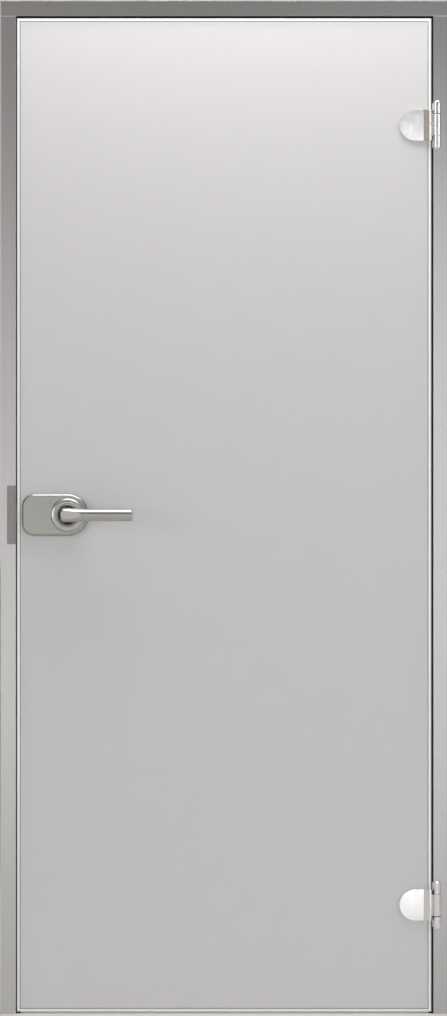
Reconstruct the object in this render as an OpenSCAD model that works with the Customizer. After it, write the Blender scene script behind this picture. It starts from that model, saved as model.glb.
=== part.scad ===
// Framed glass door: a toughened satin glass leaf in a three-sided aluminium
// frame, with two barrel hinges and a lever latch lock.
//
// Millimetres. X runs along the width from the latch side to the hinge side,
// Y into the wall, Z up. The origin is on the floor line, at the middle of the
// width, in the plane of the frame's front face.

/* [Frame] */
// Overall width of the frame
frame_w = 880; // [700:5:1000]
// Overall height of the frame, from the floor line
frame_h = 1990; // [1850:5:2300]
// Depth of the frame profile into the wall
frame_d = 50; // [46:1:90]
// Width of the profile's front face
face_w = 30; // [30:1:45]
// Wall thickness of the profile
wall_t = 2.5; // [2.2:0.1:3.5]
// How far the stop stands in behind the leaf
stop_w = 9; // [9:0.5:9.5]
// Height of the seal between the stop and the leaf
seal_h = 4; // [3:0.5:6]
// Radius of the frame's fixing holes in its outer wall
fixing_r = 3; // [2:0.25:4]
// Height of the lowest fixing hole in each jamb
fixing_low = 150; // [100:10:250]
// Distance of the inner fixing holes from the middle of the leaf
fixing_near = 300; // [150:10:400]

/* [Leaf] */
// Glass thickness
glass_t = 8; // [6:1:12]
// How far the glass lies behind the frame's front face
glass_inset = 1; // [0.5:0.5:3]
// Width of the polished arris round both faces
arris = 2; // [0.5:0.5:2.5]
// Gap between the leaf and the jamb on the latch side
gap_latch = 2; // [2:0.5:4]
// Gap between the leaf and the jamb on the hinge side
gap_hinge = 4; // [4:0.5:6]
// Gap between the leaf and the header
gap_top = 4.5; // [3:0.5:6]
// Gap between the leaf and the floor line
gap_floor = 4; // [3:1:15]
// Thickness of the liners between the glass and the fittings
liner_t = 1; // [0.5:0.25:2]

/* [Hinges] */
// Distance of each hinge's middle from the leaf's top or bottom edge
hinge_edge = 210; // [150:5:400]
// Diameter of the hinge barrel
barrel_d = 14; // [13.5:0.5:17]
// Length of the leaf's knuckle, in the middle of the barrel
knuckle_mid = 42; // [36:1:50]
// Length of the frame's closed knuckle
knuckle_cap = 25; // [20:1:35]
// Length of the frame's open knuckle
knuckle_open = 25; // [20:1:35]
// Radius of the hinge pin
pin_r = 4; // [3:0.5:4]
// Height of the clamp plates on the glass
clamp_h = 61; // [56:1:66]
// Thickness of the flat part of the clamp plates
clamp_t = 4; // [3:0.5:5]
// Distance from the hinge axis to the round end of the clamp plates
clamp_reach = 74; // [68:1:90]

/* [Lock] */
// Distance from the leaf's edge to the lever's axis
backset = 100; // [96:1:110]
// Distance from the leaf's edge to the lock
lock_edge = 10.5; // [9.5:0.5:12]
// Height of the lock's cover and case
lock_h = 82; // [80:1:88]
// Corner radius at the lock's square end
lock_corner = 24; // [18:1:26]
// Thickness of the front cover
cover_t = 9; // [8:0.5:12]
// Depth of the lock case behind the glass
case_d = 20; // [20:0.5:24]
// Width of the bevel round the cover and the case
lock_bevel = 3; // [1:0.5:3.5]
// Height of the strike plate
strike_h = 114; // [104:1:140]
// Width of the strike plate's front lip
strike_lip = 17; // [10:0.5:18]

/* [Lever] */
// Length of the lever from its axis to its tip
lever_reach = 128; // [100:1:160]
// Diameter of the lever's grip
grip_d = 24.5; // [18:0.5:26]
// Distance of the grip's centre line from the rose's seat
lever_standoff = 41; // [34:1:55]
// Travel of the latch bolt
latch_travel = 12; // [11:0.5:12]

/* [Hidden] */
$fn = 64;

// Clearances
eps = 0.1;           // overshoot of cuts
run_gap = 0.05;      // radial clearance of turning fits
slide_gap = 0.3;     // clearance round sliding pieces
soft_gap = 0.3;      // gap that soft pieces keep from moving ones
face_gap = 0.5;      // gap between the barrel and the frame's face

// Heights and depths of the leaf
leaf_x0 = -frame_w / 2 + face_w + gap_latch;
leaf_x1 = frame_w / 2 - face_w - gap_hinge;
leaf_z0 = gap_floor;
leaf_z1 = frame_h - face_w - gap_top;
leaf_mid = (leaf_z0 + leaf_z1) / 2;
glass_y0 = glass_inset;
glass_y1 = glass_y0 + glass_t;
mount_y0 = glass_y0 - liner_t;   // back of the fittings in front of the glass
mount_y1 = glass_y1 + liner_t;   // front of the fittings behind the glass

// Frame profile, in u from its outer face and v from its front face
rebate_d = glass_y1 + seal_h;
stop_u = face_w + stop_w;
web_v0 = frame_d - 17.5;         // the web between the two chambers
port_c = wall_t + 3.3;           // centre of the corner screw port
port_far_v = web_v0 - 3.3;       // depth of the second port
port_r = 4;
port_bore = 2.1;
groove_depth = 5;
seal_bulb = 2.4;                 // radius of the seal's body
seal_foot = 0.8;                 // thickness of its foot, which covers the stop's face
fixing_v = (web_v0 + wall_t + frame_d - wall_t) / 2;
access_r = 5.5;
fixing_far = leaf_mid - fixing_low;
header_fixing = 250;

// Corner screws
corner_screw_r = 2.5;
corner_head_r = 4.5;
corner_bite = 25;

// Hinge axis and plates
axis_y = -barrel_d / 2 - face_gap;
axis_x = frame_w / 2 - face_w + barrel_d / 2 + face_gap;
hinge_z_up = leaf_z1 - hinge_edge;
hinge_z_low = leaf_z0 + hinge_edge;
barrel_r = barrel_d / 2;
washer_thick = 1.5;
washer_thin = 0.6;
tab_t = 2.5;                     // bracket's tab in the gap
tab_back = rebate_d - 1.8;       // tab's back edge, in front of the seal
bush_r = pin_r + 1.4;
backing_t = 5;
hinge_screw_r = 2;
hinge_screw_head = 3.9;
hinge_screw_pitch = 32;
clamp_r = clamp_h / 2;
clamp_x0 = axis_x - clamp_reach;
clamp_flat_x1 = axis_x - 26.5;   // where the flat ends and the ridge begins
ridge_land = 3.6;                // width of the flat land along the ridge's crest
ridge_bevel = 0.9;               // width of the bevel along the land's inner edge
ridge_h = 5;                     // height of the land above the flat
clamp_back_x1 = frame_w / 2 - stop_u - 3;
clamp_screw_x = clamp_x0 + clamp_r - 1;
clamp_screw_z = 15;
clamp_screw_r = 3;
clamp_screw_head = 5.8;
boss_r = 5;
sleeve_wall = 1.9;
boss_gap = 0.2;

// Hinge bracket and pin, measured from the hinge axis at the hinge's middle height
tab_x0 = frame_w / 2 - face_w - tab_t - axis_x;   // tab's outer side
face_y = -axis_y;                // frame's face
tab_y1 = tab_back - axis_y;      // tab's back edge
tab_mid_y = (tab_back + glass_y0) / 2;   // screws' depth in the jamb, from its front face
tab_start = 0.5;                 // how far the tab stands in front of the frame's face
mid_half = knuckle_mid / 2;
cap_z0 = mid_half + washer_thick;
cap_z1 = cap_z0 + knuckle_cap;
open_z1 = -mid_half - washer_thin;
open_z0 = open_z1 - knuckle_open;
open_bevel = 2;                  // bevel at the end of the open knuckle
dome_r = 4.5;                    // rounding of the closed knuckle
pin_z1 = cap_z1 - dome_r + 1;
pin_recess = 1;                  // pin's end inside the open knuckle

// Lock
lever_x = leaf_x0 + backset;
lock_x0 = leaf_x0 + lock_edge;
lock_r = lock_h / 2;
lock_z = leaf_mid;
cover_y0 = mount_y0 - cover_t;
case_y1 = mount_y1 + case_d;
lock_wall = 3;
plate_t = 1.5;
post_r = 6;
lock_screw_r = 2.5;
lock_screw_head = 4.8;
lock_boss_r = 4;
lock_post_x = lock_x0 + lock_wall + post_r + 10.5;
lock_post_z = lock_r - lock_wall - post_r - 1.5;
lock_far_x = lever_x + 23.5;
// Clamping posts, in x and in z from the lever's height
lock_posts = [[lock_post_x, lock_post_z], [lock_post_x, -lock_post_z], [lock_far_x, 0]];
neck_r = 10;
bearing_r = 14;
rose_r = lock_r - 7;
rose_hole = 17;
rose_tube = (rose_r - rose_hole) / 2;
bearing_lip = 2;
spindle_w = 8;
spindle_in = 20;                 // spindle's engagement in each lever
spindle_hole = 14;               // hole in the glass round the spindle

// Lever, measured from its seat on the cover or the case
heel = 12.6;                     // heel's reach behind the axis
heel_r = grip_d / 2 + 1.6;
heel_round = 7;
heel_flat = grip_d / 2 - 1.7;    // height of the flat above the grip's centre line
flat_tilt = 2.6;                 // angle at which the flat runs out along the grip
taper_x0 = 4;                    // where the heel starts to taper into the grip
taper_x1 = 34;
tip_round = 3;
grub_z = 6;
grub_r = 2.5;
front_neck_in = cover_t - 1;
back_neck_in = 1;

// Lock mechanism
mech_y0 = mount_y1 + plate_t + 0.5;
mech_y1 = case_y1 - lock_wall - 0.5;
mech_y = (mech_y0 + mech_y1) / 2;
follower_r = 10.5;
journal_r = 8;
journal_cap = 1.5;               // case's skin behind the follower's journal
arm_r = 19;
arm_w = 6;
arm_t = 5.5;
latch_w = 24;
latch_t = 12;
latch_nose = frame_w / 2 - 20.5; // distance of the nose from the middle
latch_post = 4;                  // upright between the latch's head and its tail
latch_head_x1 = lock_x0 + lock_wall + 1.8 + latch_post;
tail_z = arm_r + 0.5;
tail_h = 3.5;
tail_t = 3.5;
lug_w = 5;
lug_gap = 0.6;
guide_r = 2;
spring_pressed = 29;             // latch spring's length with the latch drawn back
abut_x = latch_head_x1 + spring_pressed + latch_travel;
abut_t = 3;
spring_wire = 1.2;
spring_r = 4.4;
return_z = -15.7;
return_len = 24;
return_x0 = lever_x - arm_w / 2 - return_len;

// Strike
strike_t = 1.5;
strike_gap = 0.2;
strike_depth = rebate_d + 17;
strike_screw_z = 40;
strike_screw_r = 1.9;
strike_screw_head = 3.6;
strike_hole_h = latch_w + 3;
strike_hole_v0 = mech_y - latch_t / 2 - 1;
strike_hole_v1 = mech_y + latch_t / 2 + 1;
box_depth = 15;
box_wall = 2;
box_h = 100;

// ---------------------------------------------------------------- helpers

// Countersunk screw along +Z, its head's face at the origin
module flat_screw(r, head_r, length, socket_r) {
    head_h = head_r - r;
    difference() {
        union() {
            translate([0, 0, -head_h]) cylinder(r1 = r, r2 = head_r, h = head_h);
            translate([0, 0, -length]) cylinder(r = r, h = length);
        }
        translate([0, 0, -head_h]) cylinder(r = socket_r, h = head_h + eps, $fn = 6);
    }
}

// Hole for such a screw, open above its head
module flat_screw_hole(r, head_r, length) {
    head_h = head_r - r;
    translate([0, 0, -head_h]) cylinder(r1 = r, r2 = head_r, h = head_h);
    translate([0, 0, -length]) cylinder(r = r, h = length + eps);
    cylinder(r = head_r, h = 1);
}

// Compression spring along +X, drawn as one swept tube
module coil_spring(r, wire, length, turns) {
    sides = 8;
    steps = 12 * turns;
    pitch_len = length - wire;
    function ring(i) = let(a = 360 * i / 12, x = wire / 2 + pitch_len * i / steps)
        [for (k = [0 : sides - 1]) let(b = 360 * k / sides, q = r + wire / 2 * cos(b))
            [x + wire / 2 * sin(b) * 0.999, q * cos(a), q * sin(a)]];
    points = [for (i = [0 : steps]) each ring(i)];
    skin = [for (i = [0 : steps - 1]) for (k = [0 : sides - 1]) let(n = (k + 1) % sides)
        [i * sides + k, (i + 1) * sides + k, (i + 1) * sides + n, i * sides + n]];
    start = [[for (k = [0 : sides - 1]) k]];
    finish = [[for (k = [sides - 1 : -1 : 0]) steps * sides + k]];
    polyhedron(points, concat(skin, start, finish));
}

// ---------------------------------------------------------------- frame

// Groove for the rubber seal in the stop: a slot that opens into a wider pocket
module groove_2d(extra) {
    mid = face_w + stop_w / 2;
    translate([mid - 1.5 + extra, rebate_d - eps]) square([3 - 2 * extra, 2.5 + eps]);
    translate([mid - 2.5 + extra, rebate_d + 2]) square([5 - 2 * extra, groove_depth - 2 - extra]);
}

// Section of the extruded frame profile
module profile_2d() {
    difference() {
        union() {
            square([face_w, frame_d]);
            translate([face_w - eps, rebate_d]) square([stop_w + eps, frame_d - rebate_d]);
        }
        translate([wall_t, wall_t])
            square([face_w - 2 * wall_t, web_v0 - wall_t]);
        translate([wall_t, web_v0 + wall_t])
            square([face_w - 2 * wall_t, frame_d - web_v0 - 2 * wall_t]);
        translate([face_w, rebate_d + groove_depth + wall_t])
            square([stop_w - wall_t, frame_d - rebate_d - groove_depth - 2 * wall_t]);
        groove_2d(0);
    }
    for (v = [port_c, port_far_v]) translate([port_c, v]) port_2d();
}

// Open tube that takes a corner screw
module port_2d() {
    difference() {
        circle(r = port_r);
        circle(r = port_bore);
        translate([0, -1]) square([port_r + eps, 2]);
    }
}

// Hole for a frame fixing, along +X from the profile's outer face
module fixing_hole() {
    rotate([0, 90, 0]) {
        translate([0, 0, -eps]) cylinder(r = fixing_r, h = wall_t + 2 * eps);
        translate([0, 0, wall_t + 1]) cylinder(r = access_r, h = stop_u);
    }
}

// A jamb's profile, latch side, standing on the floor line
module jamb_bar() {
    difference() {
        translate([-frame_w / 2, 0, 0]) linear_extrude(frame_h - face_w) profile_2d();
        for (s = [-1, 1], d = [fixing_far, fixing_near])
            translate([-frame_w / 2, fixing_v, leaf_mid + s * d]) fixing_hole();
    }
}

module jamb_latch_side() {
    color("darkgray") difference() {
        jamb_bar();
        translate([-frame_w / 2, 0, lock_z]) strike_recess();
    }
}

module jamb_hinge_side() {
    color("darkgray") difference() {
        mirror([1, 0, 0]) jamb_bar();
        for (z = [hinge_z_up, hinge_z_low], k = [-1, 0, 1])
            translate([frame_w / 2 - face_w - eps, tab_mid_y, z + k * hinge_screw_pitch])
                rotate([0, 90, 0]) cylinder(r = hinge_screw_r + 0.1, h = wall_t + 2 * eps);
    }
}

// Milled seat of the strike plate, from the jamb's outer face and the lock's height
module strike_recess() {
    h = strike_h + 2 * strike_gap;
    translate([face_w - strike_lip - strike_gap, -eps, -h / 2])
        cube([strike_lip + strike_gap + 1, strike_t + eps, h]);
    translate([face_w - strike_t, -eps, -h / 2]) cube([strike_t + 1, strike_depth + eps, h]);
    translate([face_w - eps, rebate_d - eps, -h / 2])
        cube([stop_w + 1, strike_depth - rebate_d + eps, h]);
    translate([face_w - wall_t - eps, strike_hole_v0, -strike_hole_h / 2])
        cube([wall_t, strike_hole_v1 - strike_hole_v0, strike_hole_h]);
    for (s = [-1, 1]) translate([face_w - wall_t - eps, mech_y, s * strike_screw_z])
        rotate([0, 90, 0]) cylinder(r = strike_screw_head + 0.3, h = wall_t);
}

module header() {
    cope = stop_u;
    color("darkgray") difference() {
        translate([-frame_w / 2, 0, frame_h]) rotate([0, 90, 0])
            linear_extrude(frame_w) profile_2d();
        for (s = [0, 1]) mirror([s, 0, 0]) {
            translate([-frame_w / 2 - eps, rebate_d - 1, frame_h - face_w - stop_w - 1])
                cube([cope + eps, frame_d - rebate_d + 2, stop_w + 1]);
            for (v = [port_c, port_far_v]) translate([-frame_w / 2 + port_c, v, frame_h])
                flat_screw_hole(corner_screw_r + 0.1, corner_head_r, face_w + eps);
            translate([-header_fixing, fixing_v, frame_h]) rotate([0, 90, 0]) fixing_hole();
        }
    }
}

module corner_screws() {
    color("silver") for (s = [0, 1], v = [port_c, port_far_v]) mirror([s, 0, 0])
        translate([-frame_w / 2 + port_c, v, frame_h]) {
            flat_screw(corner_screw_r, corner_head_r, face_w - eps, 1.6);
            translate([0, 0, -face_w - corner_bite]) cylinder(r = port_bore, h = corner_bite + 1);
        }
}

// Section of the rubber seal, in the profile's own u and v
module seal_2d() {
    mid = face_w + stop_w / 2;
    lip = seal_h - soft_gap;
    intersection() {
        translate([mid, rebate_d]) circle(r = seal_bulb);
        translate([mid - seal_bulb, rebate_d - seal_bulb]) square([2 * seal_bulb, seal_bulb]);
    }
    translate([mid - 0.9, rebate_d - lip]) square([1.8, lip]);
    translate([face_w + 0.2, rebate_d - seal_foot]) square([stop_w - 0.4, seal_foot]);
    groove_2d(0.2);
}

// Side seal from one height to another, latch side
module side_seal(z0, z1) {
    translate([-frame_w / 2, 0, z0]) linear_extrude(z1 - z0) seal_2d();
}

module seal_latch_side() {
    cut = strike_h / 2 + strike_gap + soft_gap;
    color("dimgray") {
        side_seal(0, lock_z - cut);
        side_seal(lock_z + cut, frame_h - face_w);
    }
}

module seal_hinge_side() {
    color("dimgray") mirror([1, 0, 0]) side_seal(0, frame_h - face_w);
}

module seal_header() {
    length = frame_w - 2 * stop_u;
    color("dimgray") translate([-length / 2, 0, frame_h]) rotate([0, 90, 0])
        linear_extrude(length) seal_2d();
}

// ---------------------------------------------------------------- strike

module strike_plate() {
    u0 = face_w - strike_lip;
    color("gray") translate([-frame_w / 2, 0, lock_z]) difference() {
        union() {
            translate([u0, 0, -strike_h / 2]) cube([strike_lip, strike_t, strike_h]);
            translate([face_w - strike_t, 0, -strike_h / 2])
                cube([strike_t, strike_depth, strike_h]);
            translate([face_w - strike_t, strike_depth - strike_t, -strike_h / 2])
                cube([stop_w + strike_t, strike_t, strike_h]);
        }
        translate([face_w - strike_t - 1, strike_hole_v0, -strike_hole_h / 2])
            cube([strike_t + 2, strike_hole_v1 - strike_hole_v0, strike_hole_h]);
        for (s = [-1, 1]) translate([face_w, mech_y, s * strike_screw_z]) rotate([0, 90, 0])
            flat_screw_hole(strike_screw_r, strike_screw_head, wall_t + 1);
    }
}

// Moulded box behind the strike plate, which takes the latch and the screws
module strike_box() {
    v0 = strike_hole_v0 - box_wall;
    depth = strike_hole_v1 - strike_hole_v0 + 2 * box_wall;
    color("black") translate([-frame_w / 2, 0, lock_z]) difference() {
        translate([face_w - wall_t - box_depth, v0, -box_h / 2]) cube([box_depth, depth, box_h]);
        translate([face_w - wall_t - box_depth + box_wall, strike_hole_v0, -strike_hole_h / 2])
            cube([box_depth, strike_hole_v1 - strike_hole_v0, strike_hole_h]);
        for (s = [-1, 1]) translate([face_w - wall_t + eps, mech_y, s * strike_screw_z])
            rotate([0, -90, 0]) cylinder(r = strike_screw_r, h = box_depth - box_wall);
    }
}

module strike_screws() {
    color("silver") for (s = [-1, 1])
        translate([-frame_w / 2 + face_w, mech_y, lock_z + s * strike_screw_z])
            rotate([0, 90, 0]) flat_screw(strike_screw_r, strike_screw_head, 14, 1.3);
}

// ---------------------------------------------------------------- glass

// Pane's section across one direction, with its arrises, centred on that direction
module arris_2d(length) {
    h = length / 2;
    polygon([
        [-h + arris, glass_y0], [h - arris, glass_y0], [h, glass_y0 + arris],
        [h, glass_y1 - arris], [h - arris, glass_y1], [-h + arris, glass_y1],
        [-h, glass_y1 - arris], [-h, glass_y0 + arris]
    ]);
}

module glass_pane() {
    w = leaf_x1 - leaf_x0;
    h = leaf_z1 - leaf_z0;
    color("lightgray") difference() {
        intersection() {
            translate([(leaf_x0 + leaf_x1) / 2, 0, leaf_z0]) linear_extrude(h) arris_2d(w);
            translate([leaf_x0, 0, leaf_mid]) rotate([0, 90, 0]) linear_extrude(w) arris_2d(h);
        }
        for (z = [hinge_z_up, hinge_z_low], s = [-1, 1])
            glass_hole(clamp_screw_x, z + s * clamp_screw_z, boss_r + boss_gap + sleeve_wall);
        for (p = lock_posts) glass_hole(p[0], lock_z + p[1], lock_boss_r + boss_gap + sleeve_wall);
        glass_hole(lever_x, lock_z, spindle_hole);
    }
}

module glass_hole(x, z, r) {
    translate([x, glass_y0 - eps, z]) rotate([-90, 0, 0]) cylinder(r = r, h = glass_t + 2 * eps);
}

// ---------------------------------------------------------------- hinges
// Each hinge is drawn with its closed knuckle up, from the hinge axis at its
// middle height, in front of the frame's face.

module at_hinge(upper) {
    if (upper) translate([axis_x, axis_y, hinge_z_up]) children();
    else translate([axis_x, axis_y, hinge_z_low]) mirror([0, 0, 1]) children();
}

// Frame's knuckle and the web that joins it to the tab in the gap
module frame_knuckle(z0, z1) {
    translate([0, 0, z0]) cylinder(r = barrel_r, h = z1 - z0);
    translate([0, 0, z0]) linear_extrude(z1 - z0) polygon([
        [tab_x0, face_y + 2], [tab_x0, face_y - 1], [tab_x0 + 1.5, face_y - 3],
        [-barrel_r + 1.2, 0], [0, 0], [-2, face_y - face_gap - 1],
        [tab_x0 + tab_t, face_y - face_gap], [tab_x0 + tab_t, face_y + 2]
    ]);
}

module hinge_bracket() {
    tab_h = cap_z1 - open_z0;
    color("silver") difference() {
        union() {
            frame_knuckle(cap_z0, cap_z1 - dome_r);
            frame_knuckle(open_z0 + open_bevel, open_z1);
            translate([0, 0, cap_z1 - dome_r]) rotate_extrude() {
                intersection() {
                    translate([barrel_r - dome_r, 0]) circle(r = dome_r);
                    translate([0, -eps]) square([barrel_r, dome_r + eps]);
                }
                translate([0, -eps]) square([barrel_r - dome_r, dome_r + eps]);
            }
            translate([0, 0, open_z0])
                cylinder(r1 = barrel_r - open_bevel, r2 = barrel_r, h = open_bevel + eps / 2);
            translate([tab_x0, face_y - tab_start, open_z0 + open_bevel])
                cube([tab_t, tab_y1 - face_y + tab_start, tab_h - dome_r - open_bevel]);
        }
        translate([tab_x0 - 1, -barrel_r - 1, open_z1])
            cube([-tab_x0 + barrel_r + 2, barrel_r + 1 + face_y + glass_y0, cap_z0 - open_z1]);
        translate([0, 0, open_z0 - eps]) cylinder(r = pin_r, h = pin_z1 - open_z0 + eps);
        for (k = [-1, 0, 1])
            translate([tab_x0, tab_mid_y - axis_y, k * hinge_screw_pitch]) rotate([0, -90, 0])
                flat_screw_hole(hinge_screw_r, hinge_screw_head, tab_t + 1);
    }
}

module hinge_pin() {
    z0 = open_z0 + pin_recess;
    color("silver") difference() {
        translate([0, 0, z0]) cylinder(r = pin_r, h = pin_z1 - z0);
        translate([0, 0, z0 - eps]) cylinder(r = 2, h = 3, $fn = 6);
    }
}

// Flanged bush in the leaf's knuckle, its flange above the origin
module bush(flange) {
    difference() {
        union() {
            cylinder(r = barrel_r - 0.3, h = flange - 0.1);
            translate([0, 0, -14]) cylinder(r = bush_r, h = 14 + eps / 2);
        }
        translate([0, 0, -15]) cylinder(r = pin_r + run_gap, h = 15 + flange + eps);
    }
}

module hinge_bushes() {
    color("dimgray") {
        translate([0, 0, mid_half]) bush(washer_thick);
        translate([0, 0, -mid_half]) mirror([0, 0, 1]) bush(washer_thin);
    }
}

module hinge_backing() {
    h = 2 * hinge_screw_pitch + 16;
    x0 = tab_x0 + tab_t + wall_t;
    color("gray") difference() {
        translate([x0, wall_t + 0.2 - axis_y, -h / 2]) cube([backing_t, 9, h]);
        for (k = [-1, 0, 1])
            translate([x0 - eps, tab_mid_y - axis_y, k * hinge_screw_pitch]) rotate([0, 90, 0])
                cylinder(r = hinge_screw_r, h = backing_t + 2 * eps);
    }
}

module hinge_screws() {
    color("silver") for (k = [-1, 0, 1])
        translate([tab_x0, tab_mid_y - axis_y, k * hinge_screw_pitch])
            rotate([0, -90, 0])
                flat_screw(hinge_screw_r, hinge_screw_head, tab_t + wall_t + backing_t + 2, 1.3);
}

// Outline of a clamp plate from its round end to x1, seen from the front
module clamp_outline(x1, r) {
    x0 = clamp_x0 - axis_x;
    intersection() {
        union() {
            translate([x0 + clamp_r, 0]) circle(r = r);
            translate([x0 + clamp_r, -r]) square([x1 - x0 - clamp_r, 2 * r]);
        }
        translate([x0, -r - 1]) square([x1 - x0, 2 * r + 2]);
    }
}

// Solid on that outline, from depth y0 to y1 measured from the hinge axis
module clamp_slab(x1, r, y0, y1) {
    translate([0, y1, 0]) rotate([90, 0, 0]) linear_extrude(y1 - y0) clamp_outline(x1, r);
}

// Front clamp plate with its ridge, arm and middle knuckle, cast as one piece
module clamp_front() {
    back = mount_y0 - axis_y;
    front = back - clamp_t;
    flat_x1 = clamp_flat_x1 - axis_x;
    edge = leaf_x1 - axis_x;
    color("white") difference() {
        union() {
            clamp_slab(flat_x1 + 1, clamp_r, front, back);
            translate([0, 0, -clamp_r]) linear_extrude(2 * clamp_r)
                ridge_2d(front, back, flat_x1, edge);
            translate([0, 0, -mid_half]) linear_extrude(knuckle_mid) polygon([
                [edge - 1, back], [edge - 1, front - ridge_h + 1.5], [edge + 1.2, front - 1],
                [edge + 3, front - 3.5], [-barrel_r + 1.5, -4.5], [0, -4.5],
                [0, 4], [-3, face_y - face_gap - 1.2], [edge + 3, face_y - face_gap]
            ]);
            translate([0, 0, -mid_half]) cylinder(r = barrel_r, h = knuckle_mid);
            for (s = [-1, 1]) translate([clamp_screw_x - axis_x, back - eps, s * clamp_screw_z])
                rotate([-90, 0, 0]) cylinder(r = boss_r, h = liner_t + glass_t - 1 + eps);
        }
        translate([0, 0, -mid_half - eps]) cylinder(r = bush_r, h = knuckle_mid + 2 * eps);
        for (s = [-1, 1]) translate([clamp_screw_x - axis_x, back - 1, s * clamp_screw_z])
            rotate([-90, 0, 0]) cylinder(r = clamp_screw_r, h = liner_t + glass_t + 2);
    }
}

// Section of the ridge between the flat plate and the leaf's edge
module ridge_2d(front, back, x0, x1) {
    top = front - ridge_h;
    land_x = x1 - ridge_land + ridge_bevel;
    polygon([
        [x0, back], [x0, front], [land_x - ridge_bevel, top + ridge_bevel * 0.7], [land_x, top],
        [x1 - ridge_bevel / 2, top], [x1, top + ridge_bevel / 2], [x1, back]
    ]);
}

module clamp_back() {
    y0 = mount_y1 - axis_y;
    color("white") difference() {
        clamp_slab(clamp_back_x1 - axis_x, clamp_r, y0, y0 + clamp_t);
        for (s = [-1, 1]) translate([clamp_screw_x - axis_x, y0 + clamp_t, s * clamp_screw_z])
            rotate([-90, 0, 0]) flat_screw_hole(clamp_screw_r + 0.1, clamp_screw_head, clamp_t + 1);
    }
}

module clamp_liners() {
    r = clamp_r - 0.5;
    color("lightgray") difference() {
        union() {
            clamp_slab(leaf_x1 - arris - axis_x, r, mount_y0 - axis_y, glass_y0 - axis_y);
            clamp_slab(clamp_back_x1 - 1 - axis_x, r, glass_y1 - axis_y, mount_y1 - axis_y);
        }
        for (s = [-1, 1]) translate([clamp_screw_x - axis_x, mount_y0 - axis_y - 1, s * clamp_screw_z])
            rotate([-90, 0, 0]) cylinder(r = boss_r + boss_gap, h = glass_t + 2 * liner_t + 2);
    }
}

// Plastic sleeve that keeps a boss clear of the glass
module sleeve(r) {
    difference() {
        cylinder(r = r + sleeve_wall, h = glass_t);
        translate([0, 0, -eps]) cylinder(r = r, h = glass_t + 2 * eps);
    }
}

module clamp_sleeves() {
    color("lightgray") for (s = [-1, 1])
        translate([clamp_screw_x - axis_x, glass_y0 - axis_y, s * clamp_screw_z])
            rotate([-90, 0, 0]) sleeve(boss_r + boss_gap);
}

module clamp_screws() {
    head_y = mount_y1 + clamp_t - axis_y;
    color("silver") for (s = [-1, 1]) translate([clamp_screw_x - axis_x, head_y, s * clamp_screw_z])
        rotate([-90, 0, 0])
            flat_screw(clamp_screw_r, clamp_screw_head, clamp_t + 2 * liner_t + glass_t, 2);
}

// ---------------------------------------------------------------- lock

// Outline of the lock's cover and case, made smaller by an inset
module lock_outline(inset) {
    c = lock_corner - inset;
    x0 = lock_x0 + inset;
    h = lock_r - inset;
    translate([lever_x, 0]) circle(r = h);
    translate([x0 + c, -h]) square([lever_x - x0 - c, 2 * h]);
    translate([x0, -h + c]) square([c + eps, 2 * (h - c)]);
    for (s = [-1, 1]) translate([x0 + c, s * (h - c)]) circle(r = c);
}

// Solid on that outline between two depths
module lock_slab(y0, y1, inset) {
    translate([0, y1, lock_z]) rotate([90, 0, 0]) linear_extrude(y1 - y0) lock_outline(inset);
}

// Bevelled rim of that outline, from y0 with the full outline to y1
module lock_rim(y0, y1) {
    b = lock_bevel;
    dir = y1 > y0 ? -90 : 90;
    c = lock_corner;
    translate([0, y0, lock_z]) rotate([dir, 0, 0]) {
        translate([lever_x, 0, 0]) cylinder(r1 = lock_r, r2 = lock_r - b, h = b);
        for (s = [-1, 1]) translate([lock_x0 + c, s * (lock_r - c), 0])
            cylinder(r1 = c, r2 = c - b, h = b);
        translate([lock_x0 + c, 0, 0]) rotate([90, 0, 90]) linear_extrude(lever_x - lock_x0 - c)
            polygon([[-lock_r, 0], [lock_r, 0], [lock_r - b, b], [-lock_r + b, b]]);
        translate([0, lock_r - c, 0]) rotate([90, 0, 0]) linear_extrude(2 * (lock_r - c))
            polygon([[lock_x0, 0], [lever_x, 0], [lever_x, b], [lock_x0 + b, b]]);
    }
}

// Cylinder along +Y at a place on the lock
module lock_pin(x, z, r, y0, y1) {
    translate([x, y0, lock_z + z]) rotate([-90, 0, 0]) cylinder(r = r, h = y1 - y0);
}

module lock_cover() {
    floor_y = cover_y0 + lock_wall;
    color("darkgray") difference() {
        union() {
            difference() {
                union() {
                    lock_slab(cover_y0 + lock_bevel, mount_y0, 0);
                    lock_rim(cover_y0 + lock_bevel, cover_y0);
                }
                lock_slab(floor_y, mount_y0 + eps, lock_bevel + 0.5);
            }
            for (p = lock_posts) {
                lock_pin(p[0], p[1], post_r, floor_y - eps, mount_y0);
                lock_pin(p[0], p[1], lock_boss_r, mount_y0 - eps, glass_y1 - 1);
            }
            lock_pin(lever_x, 0, bearing_r + 2.2, floor_y - eps, mount_y0);
        }
        for (p = lock_posts) lock_pin(p[0], p[1], lock_screw_r, floor_y, glass_y1);
        lock_pin(lever_x, 0, bearing_r, cover_y0 - eps, mount_y0 + eps);
    }
}

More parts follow.
